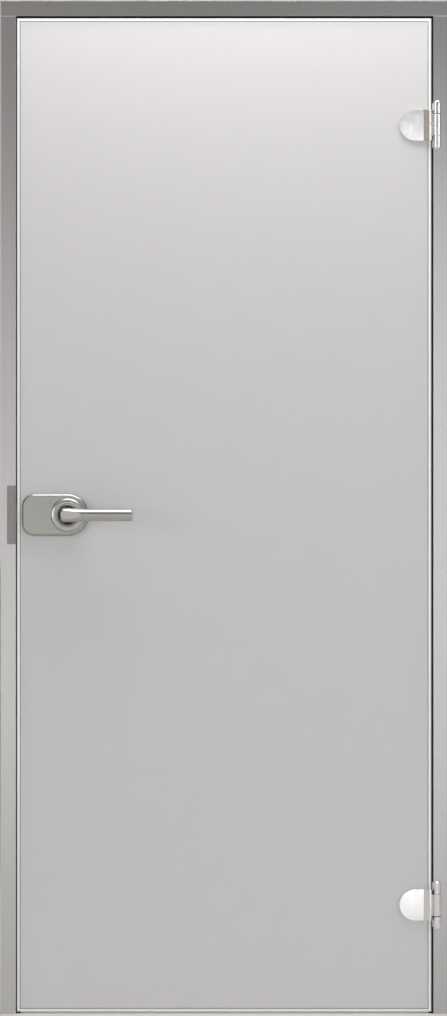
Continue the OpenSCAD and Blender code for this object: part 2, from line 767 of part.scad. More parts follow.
module lock_case() {
    floor_y = case_y1 - lock_wall;
    color("darkgray") difference() {
        union() {
            difference() {
                union() {
                    lock_slab(mount_y1, case_y1 - lock_bevel, 0);
                    lock_rim(case_y1 - lock_bevel, case_y1);
                }
                lock_slab(mount_y1 - eps, floor_y, lock_wall);
            }
            for (p = lock_posts) lock_pin(p[0], p[1], post_r, mount_y1 + plate_t, floor_y + eps);
            translate([abut_x, mount_y1 + plate_t, lock_z - 7])
                cube([abut_t, floor_y - mount_y1 - plate_t + eps, 14]);
            translate([return_x0 - abut_t, mount_y1 + plate_t, lock_z + return_z - 5])
                cube([abut_t, floor_y - mount_y1 - plate_t + eps, 10]);
        }
        for (p = lock_posts) translate([p[0], case_y1, lock_z + p[1]]) rotate([-90, 0, 0])
            flat_screw_hole(lock_screw_r + 0.2, lock_screw_head, case_d);
        translate([lock_x0 - 1, mech_y - latch_t / 2 - slide_gap, lock_z - latch_w / 2 - slide_gap])
            cube([lock_wall + 8, latch_t + 2 * slide_gap, latch_w + 2 * slide_gap]);
        translate([abut_x - eps, mech_y, lock_z]) rotate([0, 90, 0])
            cylinder(r = guide_r + slide_gap, h = abut_t + 2 * eps);
        lock_pin(lever_x, 0, journal_r + run_gap, floor_y - eps, case_y1 - journal_cap);
        lock_pin(lever_x, 0, bearing_r, case_y1 - journal_cap, case_y1 + eps);
    }
}

module lock_case_plate() {
    color("silver") difference() {
        lock_slab(mount_y1, mount_y1 + plate_t, lock_wall + 0.1);
        for (p = lock_posts) lock_pin(p[0], p[1], lock_boss_r, mount_y1 - 1, mount_y1 + plate_t + 1);
        lock_pin(lever_x, 0, journal_r + run_gap, mount_y1 - 1, mount_y1 + plate_t + 1);
    }
}

module lock_liners() {
    color("lightgray") difference() {
        union() {
            lock_slab(mount_y0, glass_y0, 0.7);
            lock_slab(glass_y1, mount_y1, 0.7);
        }
        for (p = lock_posts)
            lock_pin(p[0], p[1], lock_boss_r + boss_gap, mount_y0 - 1, mount_y1 + 1);
        lock_pin(lever_x, 0, spindle_hole, mount_y0 - 1, mount_y1 + 1);
    }
}

module lock_sleeves() {
    color("lightgray") for (p = lock_posts) translate([p[0], glass_y0, lock_z + p[1]])
        rotate([-90, 0, 0]) sleeve(lock_boss_r + boss_gap);
}

module lock_screws() {
    length = case_y1 - cover_y0 - lock_wall - 1;
    color("silver") for (p = lock_posts) translate([p[0], case_y1, lock_z + p[1]])
        rotate([-90, 0, 0]) flat_screw(lock_screw_r, lock_screw_head, length, 1.6);
}

// Round rose: half a ring of round section, standing on z = 0
module rose() {
    color("silver") rotate_extrude() intersection() {
        translate([rose_hole + rose_tube, 0]) circle(r = rose_tube);
        translate([rose_hole - 1, 0]) square([2 * rose_tube + 2, rose_tube + 1]);
    }
}

module front_rose() {
    translate([lever_x, cover_y0, lock_z]) rotate([90, 0, 0]) rose();
}

module back_rose() {
    translate([lever_x, case_y1, lock_z]) rotate([-90, 0, 0]) rose();
}

// Flanged nylon bearing for the lever's neck, its flange standing on z = 0
module bearing(depth) {
    color("black") difference() {
        union() {
            cylinder(r = rose_hole - 0.2, h = bearing_lip);
            translate([0, 0, -depth]) cylinder(r = bearing_r, h = depth + eps);
        }
        translate([0, 0, -depth - 1]) cylinder(r = neck_r + run_gap, h = depth + bearing_lip + 2);
    }
}

module front_bearing() {
    translate([lever_x, cover_y0, lock_z]) rotate([90, 0, 0]) bearing(cover_t);
}

module back_bearing() {
    translate([lever_x, case_y1, lock_z]) rotate([-90, 0, 0]) bearing(journal_cap);
}

// ---------------------------------------------------------------- lever

// Lever from its seat at z = 0, with its grip along +X
module lever(neck_in) {
    color("silver") difference() {
        union() {
            translate([0, 0, lever_standoff]) rotate([0, 90, 0]) rotate_extrude() {
                translate([0, -heel]) square([heel_r - heel_round, heel_round + eps]);
                intersection() {
                    translate([heel_r - heel_round, -heel + heel_round]) circle(r = heel_round);
                    translate([0, -heel]) square([heel_r, heel_round]);
                }
                polygon([
                    [0, -heel + heel_round], [heel_r, -heel + heel_round], [heel_r, taper_x0],
                    [grip_d / 2, taper_x1], [grip_d / 2, lever_reach - tip_round],
                    [0, lever_reach - tip_round]
                ]);
                translate([0, lever_reach - tip_round - eps])
                    square([grip_d / 2 - tip_round, tip_round + eps]);
                intersection() {
                    translate([grip_d / 2 - tip_round, lever_reach - tip_round])
                        circle(r = tip_round);
                    translate([0, lever_reach - tip_round]) square([grip_d / 2, tip_round]);
                }
            }
            translate([0, 0, -neck_in]) cylinder(r = neck_r, h = lever_standoff + neck_in);
        }
        // flat on the heel's face, which runs out along the grip
        translate([-heel - 1, -grip_d, lever_standoff + heel_flat]) rotate([0, -flat_tilt, 0])
            cube([60, 2 * grip_d, heel_r]);
        translate([-spindle_w / 2, -spindle_w / 2, -neck_in - eps])
            cube([spindle_w, spindle_w, spindle_in + eps]);
        translate([0, 0, grub_z]) rotate([90, 0, 0]) cylinder(r = grub_r, h = neck_r + 1);
    }
}

module front_lever() {
    translate([lever_x, cover_y0, lock_z]) rotate([90, 0, 0]) lever(front_neck_in);
}

module back_lever() {
    translate([lever_x, case_y1, lock_z]) mirror([0, 1, 0]) rotate([90, 0, 0])
        lever(back_neck_in);
}

// Grub screw in a lever's neck, bearing on the spindle
module grub_screw() {
    length = neck_r - spindle_w / 2 - 0.6;
    color("dimgray") translate([0, -spindle_w / 2, grub_z]) rotate([90, 0, 0]) difference() {
        cylinder(r = grub_r, h = length);
        translate([0, 0, length - 2]) cylinder(r = 1.4, h = 2 + eps, $fn = 6);
    }
}

module front_grub_screw() {
    translate([lever_x, cover_y0, lock_z]) rotate([90, 0, 0]) grub_screw();
}

module back_grub_screw() {
    translate([lever_x, case_y1, lock_z]) mirror([0, 1, 0]) rotate([90, 0, 0]) grub_screw();
}

module spindle() {
    y0 = cover_y0 + front_neck_in - spindle_in;
    y1 = case_y1 - back_neck_in + spindle_in;
    color("gray") translate([lever_x - spindle_w / 2, y0, lock_z - spindle_w / 2])
        cube([spindle_w, y1 - y0, spindle_w]);
}

// ---------------------------------------------------------------- mechanism

// Cast follower that the spindle turns: an arm up for the latch, one down for the spring
module follower() {
    back_y = case_y1 - journal_cap - 0.3;
    color("gray") difference() {
        union() {
            lock_pin(lever_x, 0, follower_r, mech_y0, mech_y1);
            lock_pin(lever_x, 0, journal_r, mount_y1 + 0.3, back_y);
            translate([lever_x - arm_w / 2, mech_y - arm_t / 2, lock_z - arm_r])
                cube([arm_w, arm_t, 2 * arm_r]);
        }
        translate([lever_x - spindle_w / 2, mount_y1, lock_z - spindle_w / 2])
            cube([spindle_w, case_d, spindle_w]);
    }
}

// Latch bolt: bevelled head, guide for its spring, and a tail with a lug over the follower
module latch_bolt() {
    head_x0 = -latch_nose;
    lug_x = lever_x + arm_w / 2 + lug_gap;
    bevel = latch_t - 1.5;
    color("silver") translate([0, 0, lock_z]) {
        translate([0, 0, -latch_w / 2]) linear_extrude(latch_w) polygon([
            [head_x0, mech_y - latch_t / 2], [head_x0, mech_y - latch_t / 2 + 1.5],
            [head_x0 + bevel, mech_y + latch_t / 2], [latch_head_x1, mech_y + latch_t / 2],
            [latch_head_x1, mech_y - latch_t / 2]
        ]);
        translate([latch_head_x1 - eps, mech_y, 0]) rotate([0, 90, 0])
            cylinder(r = guide_r, h = abut_x + abut_t + 6 - latch_head_x1);
        translate([latch_head_x1 - latch_post, mech_y - tail_t / 2, latch_w / 2 - 3])
            cube([latch_post, tail_t, tail_z + tail_h - latch_w / 2 + 3]);
        translate([latch_head_x1 - latch_post, mech_y - tail_t / 2, tail_z])
            cube([lug_x + lug_w - latch_head_x1 + latch_post, tail_t, tail_h]);
        translate([lug_x, mech_y - tail_t / 2, follower_r + 0.5])
            cube([lug_w, tail_t, tail_z - follower_r]);
    }
}

module latch_spring() {
    color("silver") translate([latch_head_x1 + 0.2, mech_y, lock_z])
        coil_spring(spring_r, spring_wire, abut_x - latch_head_x1 - 0.2, 9);
}

module return_spring() {
    color("silver") translate([return_x0, mech_y, lock_z + return_z])
        coil_spring(spring_r, spring_wire, return_len - 0.2, 6);
}

// ---------------------------------------------------------------- output

header();
jamb_latch_side();
jamb_hinge_side();
corner_screws();
seal_header();
seal_latch_side();
seal_hinge_side();
strike_plate();
strike_box();
strike_screws();
glass_pane();
at_hinge(true) hinge_bracket();  // upper_hinge_bracket
at_hinge(true) hinge_pin();  // upper_hinge_pin
at_hinge(true) hinge_bushes();  // upper_hinge_bushes
at_hinge(true) hinge_backing();  // upper_hinge_backing
at_hinge(true) hinge_screws();  // upper_hinge_screws
at_hinge(true) clamp_front();  // upper_clamp_front
at_hinge(true) clamp_back();  // upper_clamp_back
at_hinge(true) clamp_liners();  // upper_clamp_liners
at_hinge(true) clamp_sleeves();  // upper_clamp_sleeves
at_hinge(true) clamp_screws();  // upper_clamp_screws
at_hinge(false) hinge_bracket();  // lower_hinge_bracket
at_hinge(false) hinge_pin();  // lower_hinge_pin
at_hinge(false) hinge_bushes();  // lower_hinge_bushes
at_hinge(false) hinge_backing();  // lower_hinge_backing
at_hinge(false) hinge_screws();  // lower_hinge_screws
at_hinge(false) clamp_front();  // lower_clamp_front
at_hinge(false) clamp_back();  // lower_clamp_back
at_hinge(false) clamp_liners();  // lower_clamp_liners
at_hinge(false) clamp_sleeves();  // lower_clamp_sleeves
at_hinge(false) clamp_screws();  // lower_clamp_screws
lock_cover();
lock_case();
lock_case_plate();
lock_liners();
lock_sleeves();
lock_screws();
front_rose();
back_rose();
front_bearing();
back_bearing();
front_lever();
back_lever();
front_grub_screw();
back_grub_screw();
spindle();
follower();
return_spring();
latch_bolt();
latch_spring();
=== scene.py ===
"""Framed glass door: finishes, edge rounding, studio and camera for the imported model.

Laid out as an add-on. Each operator finishes one group of the door's pieces, and the last
one builds the studio. Metres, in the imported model's own frame: X from the latch side to the
hinge side, Y into the wall, Z up, origin on the floor line in the frame's front face.
"""

import math

import bmesh
import bpy
from mathutils import Euler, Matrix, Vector


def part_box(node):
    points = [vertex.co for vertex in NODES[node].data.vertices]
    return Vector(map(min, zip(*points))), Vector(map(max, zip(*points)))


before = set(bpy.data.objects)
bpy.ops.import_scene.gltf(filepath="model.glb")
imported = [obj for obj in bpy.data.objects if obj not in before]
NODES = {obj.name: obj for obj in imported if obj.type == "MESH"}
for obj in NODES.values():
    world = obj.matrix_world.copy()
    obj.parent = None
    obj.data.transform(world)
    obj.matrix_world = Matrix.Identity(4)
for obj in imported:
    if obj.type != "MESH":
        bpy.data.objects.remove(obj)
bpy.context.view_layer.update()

bl_info = {
    "name": "Framed Glass Door",
    "version": (1, 0, 0),
    "blender": (4, 5, 0),
    "location": "View3D > Sidebar > Glass Door",
    "description": "Finishes and studio for a satin glass door in an aluminium frame",
    "category": "Object",
}


# ------------------------------------------------------------------ helpers


def linear(code):
    """Linear RGBA of an sRGB hex colour."""
    channels = []
    for i in (0, 2, 4):
        c = int(code[i : i + 2], 16) / 255
        channels.append(c / 12.92 if c <= 0.04045 else ((c + 0.055) / 1.055) ** 2.4)
    return (*channels, 1.0)


def darker(colour, share):
    """This colour at a share of its lightness."""
    return (*(c * share for c in colour[:3]), 1.0)


def colour_prop(name, description, code):
    """Colour property that opens at an sRGB hex colour."""
    return bpy.props.FloatVectorProperty(
        name=name, description=description, subtype="COLOR", size=4, min=0.0, max=1.0, default=linear(code)
    )


def length_prop(name, description, default, low=0.0, high=50.0):
    """Length property in metres."""
    return bpy.props.FloatProperty(
        name=name, description=description, unit="LENGTH", default=default, min=low, max=high, precision=4
    )


def add(owner, kind, settings=None, links=None):
    """Add a node to a material or world, with its settings, and its inputs linked from (node, output)."""
    tree = owner.node_tree
    node = tree.nodes.new(kind)
    for key, value in (settings or {}).items():
        if isinstance(key, int) or key in node.inputs:
            node.inputs[key].default_value = value
        else:
            setattr(node, key, value)
    for key, (source, output) in (links or {}).items():
        tree.links.new(source.outputs[output], node.inputs[key])
    return node


def new_material(name):
    """Empty node material."""
    material = bpy.data.materials.new(name)
    material.use_nodes = True
    material.node_tree.nodes.clear()
    return material


def finish(material, shader):
    """Link a shader to the material's output."""
    add(material, "ShaderNodeOutputMaterial", {}, {"Surface": (shader, 0)})
    return material


def dress(material, *names):
    """Put a material on every slot of these CAD nodes."""
    for name in names:
        for slot in NODES[name].material_slots:
            slot.material = material


WELD_REACH = 1e-5  # metres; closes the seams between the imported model's faces
FLAT_ANGLE = math.radians(0.5)  # triangles within this angle are one flat face
EDGE_ANGLE = math.radians(15)  # sharpest edge of a compact piece that stays unrounded
PROFILE_EDGE_ANGLE = math.radians(28)  # the same on a long profile


def soften(width, join_flats, *names):
    """Round the sharp edges of these CAD nodes with modifiers, which leave their meshes alone.

    Short edges hold the rounding below its width: it is full on the lock's cover, 0.3 mm on
    the jambs and almost nothing on the header. Joining each flat face's triangles lets it go
    further on a compact piece. A long profile keeps its triangles, because joining them would
    hold it back more.
    """
    for name in names:
        piece = NODES[name]
        weld = piece.modifiers.new("Weld", "WELD")
        weld.merge_threshold = WELD_REACH
        if join_flats:
            flats = piece.modifiers.new("Flats", "DECIMATE")
            flats.decimate_type = "DISSOLVE"
            flats.angle_limit = FLAT_ANGLE
        bevel = piece.modifiers.new("Edges", "BEVEL")
        bevel.width = width
        bevel.segments = 2
        bevel.limit_method = "ANGLE"
        bevel.angle_limit = EDGE_ANGLE if join_flats else PROFILE_EDGE_ANGLE
        bevel.harden_normals = not join_flats
        bevel.use_clamp_overlap = True
        if join_flats:
            normals = piece.modifiers.new("Normals", "WEIGHTED_NORMAL")
            normals.mode = "FACE_AREA"
            normals.weight = 80


def both(*names):
    """Names of these hinge pieces on the upper and the lower hinge."""
    return [f"{side}_{name}" for side in ("upper", "lower") for name in names]


# ------------------------------------------------------------------ settings


class DoorFinishSettings(bpy.types.PropertyGroup):
    """Colours and edge sizes of the door's finishes"""

    aluminium: colour_prop("Aluminium", "Anodised colour of the frame profiles", "c9c8c8")
    glass: colour_prop("Glass", "Colour of the etched glass", "f4f2f4")
    chrome: colour_prop("Chrome", "Colour of the plated hinges", "f4f3f3")
    cover: colour_prop("Lock cover", "Colour of the lock's cover and case", "aaaba6")
    rose: colour_prop("Rose", "Colour of the turned roses", "cacac8")
    lever: colour_prop("Lever", "Colour of the ground levers", "bfbebb")
    strike: colour_prop("Strike plate", "Colour of the zinc plated strike plate", "a6a6a5")
    frame_edge: length_prop("Frame edge", "Most rounding of the profiles' edges", 0.0008, 0.0, 0.002)
    fitting_edge: length_prop("Fitting edge", "Most rounding of the fittings' edges", 0.0004, 0.0, 0.001)
    clear_band: length_prop("Clear band", "Width of the unetched band round the glass", 0.0062, 0.0, 0.03)


class DoorStudioSettings(bpy.types.PropertyGroup):
    """Camera and lights of the studio"""

    distance: length_prop("Camera distance", "Distance of the camera from the door's front", 8.0, 2.0, 40.0)
    eye: length_prop("Camera height", "Height of the camera above the floor", 0.9934, 0.0, 4.0)
    aside: length_prop("Camera offset", "Distance of the camera from the door's middle", -0.0022, -4.0, 4.0)
    lens: bpy.props.FloatProperty(
        name="Lens",
        description="Focal length in millimetres",
        unit="CAMERA",
        default=144.3,
        min=20.0,
        max=400.0,
    )
    brightness: bpy.props.FloatProperty(
        name="Brightness",
        description="Strength of all the studio's light",
        subtype="FACTOR",
        default=1.0,
        min=0.0,
        max=4.0,
    )


# ------------------------------------------------------------------ materials


def anodised_aluminium(name, colour, along, roughness):
    """Extruded aluminium, satin anodised.

    The anodised skin is an even silky grey that spreads reflections wide. The die leaves faint
    streaks that run the profile's whole length, a little lighter, darker and glossier.
    """
    material = new_material(name)
    coords = add(material, "ShaderNodeTexCoord")
    # Die lines are about 0.3 mm apart, and are drawn 2.5 mm apart so that they show.
    across, lengthways = 400.0, 1.2
    scale = [across, across, across]
    scale["XYZ".index(along)] = lengthways
    stretched = add(material, "ShaderNodeMapping", {"Scale": scale}, {"Vector": (coords, "Object")})
    streaks = add(
        material,
        "ShaderNodeTexNoise",
        {"Scale": 1.0, "Detail": 3.0, "Roughness": 0.6},
        {"Vector": (stretched, 0)},
    )
    # The anodised layer itself is mottled at about 0.5 mm, drawn at 3 mm.
    mottle = add(
        material,
        "ShaderNodeTexNoise",
        {"Scale": 330.0, "Detail": 2.0, "Roughness": 0.7},
        {"Vector": (coords, "Object")},
    )
    shade = add(
        material,
        "ShaderNodeMapRange",
        {"From Min": 0.3, "From Max": 0.7, "To Min": 0.0, "To Max": 1.0},
        {"Value": (streaks, "Fac")},
    )
    tone = add(
        material,
        "ShaderNodeMix",
        {"data_type": "RGBA", 6: darker(colour, 0.93), 7: colour},
        {0: (shade, 0)},
    )
    silk = add(
        material,
        "ShaderNodeMapRange",
        {"From Min": 0.3, "From Max": 0.7, "To Min": roughness - 0.04, "To Max": roughness + 0.04},
        {"Value": (mottle, "Fac")},
    )
    # The die's corners are rounded by 0.3 mm, drawn at 1.2 mm.
    corner = add(material, "ShaderNodeBevel", {"samples": 4, "Radius": 0.0012})
    bump = add(
        material,
        "ShaderNodeBump",
        {"Strength": 0.05, "Distance": 0.0002},
        {"Height": (streaks, "Fac"), "Normal": (corner, 0)},
    )
    metal = add(
        material,
        "ShaderNodeBsdfPrincipled",
        {"Metallic": 1.0},
        {"Base Color": (tone, 2), "Roughness": (silk, 0), "Normal": (bump, 0)},
    )
    return finish(material, metal)


def zinc_steel(name, colour, roughness):
    """Zinc plated steel, left as plated.

    The plating shows soft crystals a few millimetres across that shift in tone and in gloss.
    """
    material = new_material(name)
    coords = add(material, "ShaderNodeTexCoord")
    crystals = add(
        material,
        "ShaderNodeTexVoronoi",
        {"Scale": 350.0, "Randomness": 1.0},
        {"Vector": (coords, "Object")},
    )
    haze = add(
        material,
        "ShaderNodeTexNoise",
        {"Scale": 120.0, "Detail": 4.0},
        {"Vector": (coords, "Object")},
    )
    tone = add(
        material,
        "ShaderNodeMix",
        {"data_type": "RGBA", 6: darker(colour, 0.86), 7: colour},
        {0: (crystals, "Distance")},
    )
    silk = add(
        material,
        "ShaderNodeMapRange",
        {"From Min": 0.3, "From Max": 0.7, "To Min": roughness - 0.06, "To Max": roughness + 0.06},
        {"Value": (haze, "Fac")},
    )
    metal = add(
        material,
        "ShaderNodeBsdfPrincipled",
        {"Metallic": 1.0},
        {"Base Color": (tone, 2), "Roughness": (silk, 0)},
    )
    return finish(material, metal)


def satin_chrome(name, colour, roughness):
    """Zinc casting, satin chrome plated.

    A bright, slightly cool white that blurs what it mirrors, broken only by faint haze and fine
    hairlines from wiping. Its worn edges catch a thin line of light.
    """
    material = new_material(name)
    coords = add(material, "ShaderNodeTexCoord")
    haze = add(
        material,
        "ShaderNodeTexNoise",
        {"Scale": 90.0, "Detail": 3.0, "Roughness": 0.6},
        {"Vector": (coords, "Object")},
    )
    gloss = add(
        material,
        "ShaderNodeMapRange",
        {"From Min": 0.3, "From Max": 0.7, "To Min": roughness - 0.03, "To Max": roughness + 0.03},
        {"Value": (haze, "Fac")},
    )
    # Wiping hairlines are finer than 0.1 mm, drawn about 1 mm apart.
    turned = add(
        material,
        "ShaderNodeMapping",
        {"Rotation": (0.2, 0.5, 0.9), "Scale": (900, 900, 40)},
        {"Vector": (coords, "Object")},
    )
    hairlines = add(
        material,
        "ShaderNodeTexNoise",
        {"Scale": 1.0, "Detail": 2.0},
        {"Vector": (turned, 0)},
    )
    # Worn edges are rounded by 0.2 mm, drawn at 0.6 mm.
    worn = add(material, "ShaderNodeBevel", {"samples": 4, "Radius": 0.0006})
    bump = add(
        material,
        "ShaderNodeBump",
        {"Strength": 0.03, "Distance": 0.00005},
        {"Height": (hairlines, "Fac"), "Normal": (worn, 0)},
    )
    tint = add(
        material,
        "ShaderNodeMix",
        {"data_type": "RGBA", 6: darker(colour, 0.96), 7: colour},
        {0: (haze, "Fac")},
    )
    metal = add(
        material,
        "ShaderNodeBsdfPrincipled",
        {"Metallic": 1.0},
        {"Base Color": (tint, 2), "Roughness": (gloss, 0), "Normal": (bump, 0)},
    )
    return finish(material, metal)


def satin_glass(name, colour, band):
    """Toughened float glass, acid etched on both faces, with ground and polished edges.

    The etch scatters what passes through into an even milky grey with a soft sheen. Round the border a fine
    darker line is drawn where the etch ends. The polished band beyond it has the pale green of plain float
    glass under a painted glow: it is painted near white and lets no light through, which stands in for the
    light that a polished edge gathers.
    """
    low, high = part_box("glass_pane")
    material = new_material(name)
    coords = add(material, "ShaderNodeTexCoord")
    place = add(material, "ShaderNodeSeparateXYZ", {}, {"Vector": (coords, "Object")})
    gaps = []
    for axis, out in ((0, "X"), (2, "Z")):
        near = add(
            material,
            "ShaderNodeMath",
            {"operation": "SUBTRACT", 1: low[axis]},
            {0: (place, out)},
        )
        far = add(
            material,
            "ShaderNodeMath",
            {"operation": "SUBTRACT", 0: high[axis]},
            {1: (place, out)},
        )
        gaps.append(add(material, "ShaderNodeMath", {"operation": "MINIMUM"}, {0: (near, 0), 1: (far, 0)}))
    edge = add(
        material,
        "ShaderNodeMath",
        {"operation": "MINIMUM"},
        {0: (gaps[0], 0), 1: (gaps[1], 0)},
    )
    # Where the etch ends: 0 on the polished border, 1 on the etched field.
    field = add(
        material,
        "ShaderNodeMapRange",
        {"From Min": band - 0.0006, "From Max": band + 0.0006, "To Min": 0.0, "To Max": 1.0},
        {"Value": (edge, 0)},
    )
    # The fine line at the etch's end, 1.2 mm wide with sides that fade over 0.6 mm.
    off_line = add(material, "ShaderNodeMath", {"operation": "SUBTRACT", 1: band}, {0: (edge, 0)})
    line_gap = add(material, "ShaderNodeMath", {"operation": "ABSOLUTE"}, {0: (off_line, 0)})
    line = add(
        material,
        "ShaderNodeMapRange",
        {"From Min": 0.0006, "From Max": 0.0012, "To Min": 1.0, "To Max": 0.0},
        {"Value": (line_gap, 0)},
    )
    # The etch's grain is about 0.05 mm, drawn at 2 mm, with cloudy patches 60 mm across.
    grain = add(
        material,
        "ShaderNodeTexNoise",
        {"Scale": 500.0, "Detail": 1.0},
        {"Vector": (coords, "Object")},
    )
    clouds = add(
        material,
        "ShaderNodeTexNoise",
        {"Scale": 16.0, "Detail": 3.0},
        {"Vector": (coords, "Object")},
    )
    patchy = add(
        material,
        "ShaderNodeMix",
        {"data_type": "RGBA", 6: darker(colour, 0.97), 7: colour},
        {0: (clouds, "Fac")},
    )
    speckled = add(
        material,
        "ShaderNodeMix",
        {"data_type": "RGBA", "blend_type": "MULTIPLY", 0: 0.03},
        {6: (patchy, 2), 7: (grain, "Color")},
    )
    # Painted glow: the polished border is painted near white (fbfffd) over the pale green of float glass,
    # which stands in for the light its polished edge gathers.
    border = add(
        material,
        "ShaderNodeMix",
        {"data_type": "RGBA", 6: linear("fbfffd")},
        {0: (field, 0), 7: (speckled, 2)},
    )
    lined = add(
        material,
        "ShaderNodeMix",
        {"data_type": "RGBA", 7: linear("8f9690")},
        {0: (line, 0), 6: (border, 2)},
    )
    rough = add(
        material,
        "ShaderNodeMapRange",
        {"From Min": 0.0, "From Max": 1.0, "To Min": 0.12, "To Max": 0.52},
        {"Value": (field, 0)},
    )
    # The border lets no light through, which keeps its painted glow white.
    clear = add(
        material,
        "ShaderNodeMapRange",
        {"From Min": 0.0, "From Max": 1.0, "To Min": 0.0, "To Max": 0.3},
        {"Value": (field, 0)},
    )
    etch = add(
        material,
        "ShaderNodeBump",
        {"Strength": 0.06, "Distance": 0.0001},
        {"Height": (grain, "Fac")},
    )
    glass = add(
        material,
        "ShaderNodeBsdfPrincipled",
        {"IOR": 1.52},
        {
            "Base Color": (lined, 2),
            "Roughness": (rough, 0),
            "Transmission Weight": (clear, 0),
            "Normal": (etch, 0),
        },
    )
    return finish(material, glass)


def turned_metal(name, colour, centre, roughness, pitch):
    """Metal turned on a lathe and left satin.

    Fine concentric tool lines round the turning axis catch the light as a soft silky ring.
    """
    material = new_material(name)
    coords = add(material, "ShaderNodeTexCoord")
    centred = add(
        material,
        "ShaderNodeMapping",
        {"Location": [-c for c in centre]},
        {"Vector": (coords, "Object")},
    )
    # The tool lines are 0.1 mm apart, drawn at the pitch given.
    rings = add(
        material,
        "ShaderNodeTexWave",
        {
            "wave_type": "RINGS",
            "rings_direction": "Y",
            "Scale": math.pi / (10 * pitch),
            "Distortion": 0.4,
            "Detail": 2.0,
        },
        {"Vector": (centred, 0)},
    )
    haze = add(
        material,
        "ShaderNodeTexNoise",
        {"Scale": 200.0, "Detail": 3.0},
        {"Vector": (coords, "Object")},
    )
    tone = add(
        material,
        "ShaderNodeMix",
        {"data_type": "RGBA", 6: darker(colour, 0.94), 7: colour},
        {0: (rings, "Fac")},
    )
    silk = add(
        material,
        "ShaderNodeMapRange",
        {"From Min": 0.3, "From Max": 0.7, "To Min": roughness - 0.03, "To Max": roughness + 0.03},
        {"Value": (haze, "Fac")},
    )
    bump = add(
        material,
        "ShaderNodeBump",
        {"Strength": 0.01, "Distance": 0.0001},
        {"Height": (rings, "Fac")},
    )
    metal = add(
        material,
        "ShaderNodeBsdfPrincipled",
        {"Metallic": 1.0},
        {"Base Color": (tone, 2), "Roughness": (silk, 0), "Normal": (bump, 0)},
    )
    return finish(material, metal)


def ground_aluminium(name, colour, along, roughness):
    """Aluminium, belt ground along its length and satin anodised.

    Short fine scratches run along the piece, so highlights spread across it.
    """
    material = new_material(name)
    coords = add(material, "ShaderNodeTexCoord")
    # The belt's scratches are about 0.1 mm wide, drawn 0.8 mm wide and 20 mm long.
    scale = [1200.0, 1200.0, 1200.0]
    scale["XYZ".index(along)] = 50.0
    stretched = add(material, "ShaderNodeMapping", {"Scale": scale}, {"Vector": (coords, "Object")})
    scratches = add(
        material,
        "ShaderNodeTexNoise",
        {"Scale": 1.0, "Detail": 3.0, "Roughness": 0.7},
        {"Vector": (stretched, 0)},
    )
    tone = add(
        material,
        "ShaderNodeMix",
        {"data_type": "RGBA", 6: darker(colour, 0.92), 7: colour},
        {0: (scratches, "Fac")},
    )
    silk = add(
        material,
        "ShaderNodeMapRange",
        {"From Min": 0.3, "From Max": 0.7, "To Min": roughness - 0.04, "To Max": roughness + 0.04},
        {"Value": (scratches, "Fac")},
    )
    bump = add(
        material,
        "ShaderNodeBump",
        {"Strength": 0.02, "Distance": 0.0001},
        {"Height": (scratches, "Fac")},
    )
    metal = add(
        material,
        "ShaderNodeBsdfPrincipled",
        {"Metallic": 1.0},
        {"Base Color": (tone, 2), "Roughness": (silk, 0), "Normal": (bump, 0)},
    )
    return finish(material, metal)


def moulded_plastic(name, colour, roughness, ior):
    """Injection moulded or extruded polymer with a fine matt skin.

    Slight unevenness in tone and gloss, and a faint grain from the mould.
    """
    material = new_material(name)
    coords = add(material, "ShaderNodeTexCoord")
    # Mould grain of 0.1 mm, drawn at 1 mm.
    grain = add(
        material,
        "ShaderNodeTexNoise",
        {"Scale": 1000.0, "Detail": 2.0},
        {"Vector": (coords, "Object")},
    )
    bloom = add(
        material,
        "ShaderNodeTexNoise",
        {"Scale": 40.0, "Detail": 3.0},
        {"Vector": (coords, "Object")},
    )
    tone = add(
        material,
        "ShaderNodeMix",
        {"data_type": "RGBA", 6: darker(colour, 0.85), 7: colour},
        {0: (bloom, "Fac")},
    )
    silk = add(
        material,
        "ShaderNodeMapRange",
        {"From Min": 0.3, "From Max": 0.7, "To Min": roughness - 0.06, "To Max": roughness + 0.06},
        {"Value": (bloom, "Fac")},
    )
    bump = add(
        material,
        "ShaderNodeBump",
        {"Strength": 0.1, "Distance": 0.0001},
        {"Height": (grain, "Fac")},
    )
    plastic = add(
        material,
        "ShaderNodeBsdfPrincipled",
        {"IOR": ior},
        {"Base Color": (tone, 2), "Roughness": (silk, 0), "Normal": (bump, 0)},
    )
    return finish(material, plastic)


# ------------------------------------------------------------------ the door


class DOOR_OT_frame_profiles(bpy.types.Operator):
    """Finish the header and the jambs in satin anodised aluminium"""

    bl_idname = "door.frame_profiles"
    bl_label = "Frame Profiles"

    def execute(self, context):
        looks = context.scene.door_finish
        upright = anodised_aluminium("Satin anodised aluminium, upright", looks.aluminium, "Z", 0.33)
        level = anodised_aluminium("Satin anodised aluminium, level", looks.aluminium, "X", 0.33)
        dress(upright, "jamb_latch_side", "jamb_hinge_side")
        dress(level, "header")
        soften(looks.frame_edge, False, "header", "jamb_latch_side", "jamb_hinge_side")
        return {"FINISHED"}


class DOOR_OT_seals(bpy.types.Operator):
    """Finish the seals in black rubber"""

    bl_idname = "door.seals"
    bl_label = "Seals"

    def execute(self, context):
        rubber = moulded_plastic("Extruded seal rubber", linear("262626"), 0.7, 1.52)
        dress(rubber, "seal_header", "seal_latch_side", "seal_hinge_side")
        return {"FINISHED"}


class DOOR_OT_strike(bpy.types.Operator):
    """Finish the strike plate and its box"""

    bl_idname = "door.strike"
    bl_label = "Strike Plate"

    def execute(self, context):
        looks = context.scene.door_finish
        dress(zinc_steel("Zinc plated strike steel", looks.strike, 0.5), "strike_plate")
        dress(moulded_plastic("Moulded black nylon, strike box", linear("1e1e1f"), 0.55, 1.53), "strike_box")
        return {"FINISHED"}


